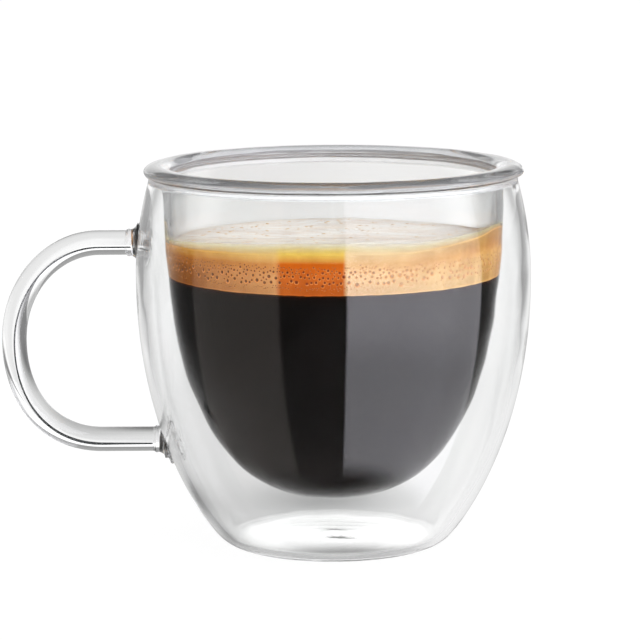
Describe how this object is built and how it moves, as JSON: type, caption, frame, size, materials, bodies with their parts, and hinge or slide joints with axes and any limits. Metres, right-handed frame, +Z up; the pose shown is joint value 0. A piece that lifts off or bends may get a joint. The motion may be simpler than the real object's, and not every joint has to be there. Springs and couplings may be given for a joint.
{
  "type": "espresso in a double-walled glass cup",
  "caption": "Black espresso with a hazel crema in a round-bellied double-walled clear glass cup with a welded glass-rod loop handle.",
  "frame": {"origin": "where the cup's axis meets the flat underside of the foot", "axes": "+Z up along the cup's axis, -X towards the handle, the handle lies in the plane y = 0"},
  "size_m": [0.1048, 0.078, 0.0757],
  "materials": {
    "clear_glass": "clear, fire-polished",
    "black_coffee": "opaque, wet gloss",
    "crema_foam": "fine wet foam"
  },
  "bodies": {
    "root": {"glass_cup": "clear_glass", "vent_seal": "clear_glass", "espresso": "black_coffee", "crema": "crema_foam"}
  },
  "joints": []
}
